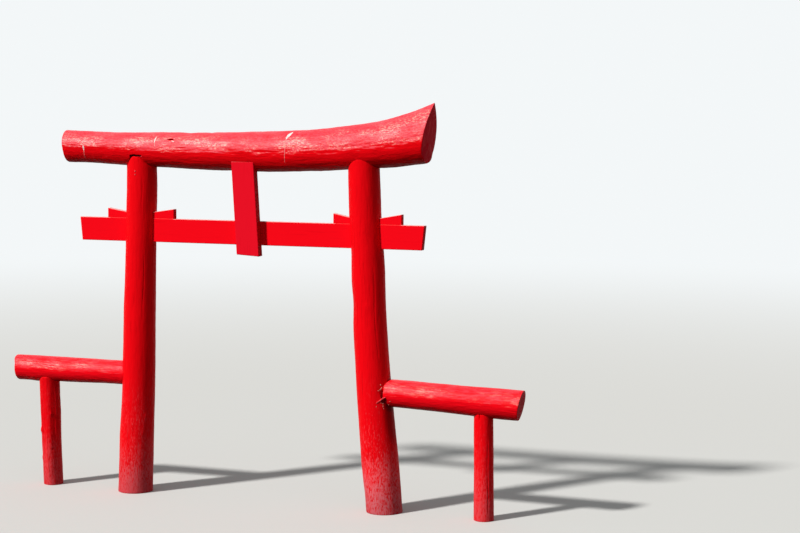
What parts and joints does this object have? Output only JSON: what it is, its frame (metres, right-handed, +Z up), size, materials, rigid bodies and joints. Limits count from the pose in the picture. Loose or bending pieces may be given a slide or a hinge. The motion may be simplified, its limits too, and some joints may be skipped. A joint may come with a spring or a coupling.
{
  "type": "torii gate",
  "caption": "Small red log torii gate: battered log pillars, a log top beam with one upswept end, wedged tie plank, blank name board and low side rails on posts.",
  "frame": {"origin": "centre of the left pillar's foot face, on the ground", "axes": "+X along the gate from the left pillar to the right one, -Y out of the front with the name board, +Z up"},
  "size_m": [4.177, 0.3168, 3.066],
  "materials": {
    "painted_log": "thick glossy vermilion paint over rough-hewn log, worn pale near the ground",
    "painted_plank": "satin vermilion paint on sawn plank",
    "painted_board": "satin crimson paint on planed board"
  },
  "bodies": {
    "root": {"kasagi": "painted_log", "left_pillar": "painted_log", "right_pillar": "painted_log", "left_rail": "painted_log", "right_rail": "painted_log", "left_post": "painted_log", "right_post": "painted_log", "nuki": "painted_plank", "left_outer_wedge": "painted_plank", "left_inner_wedge": "painted_plank", "right_inner_wedge": "painted_plank", "right_outer_wedge": "painted_plank", "name_board": "painted_board"}
  },
  "joints": []
}
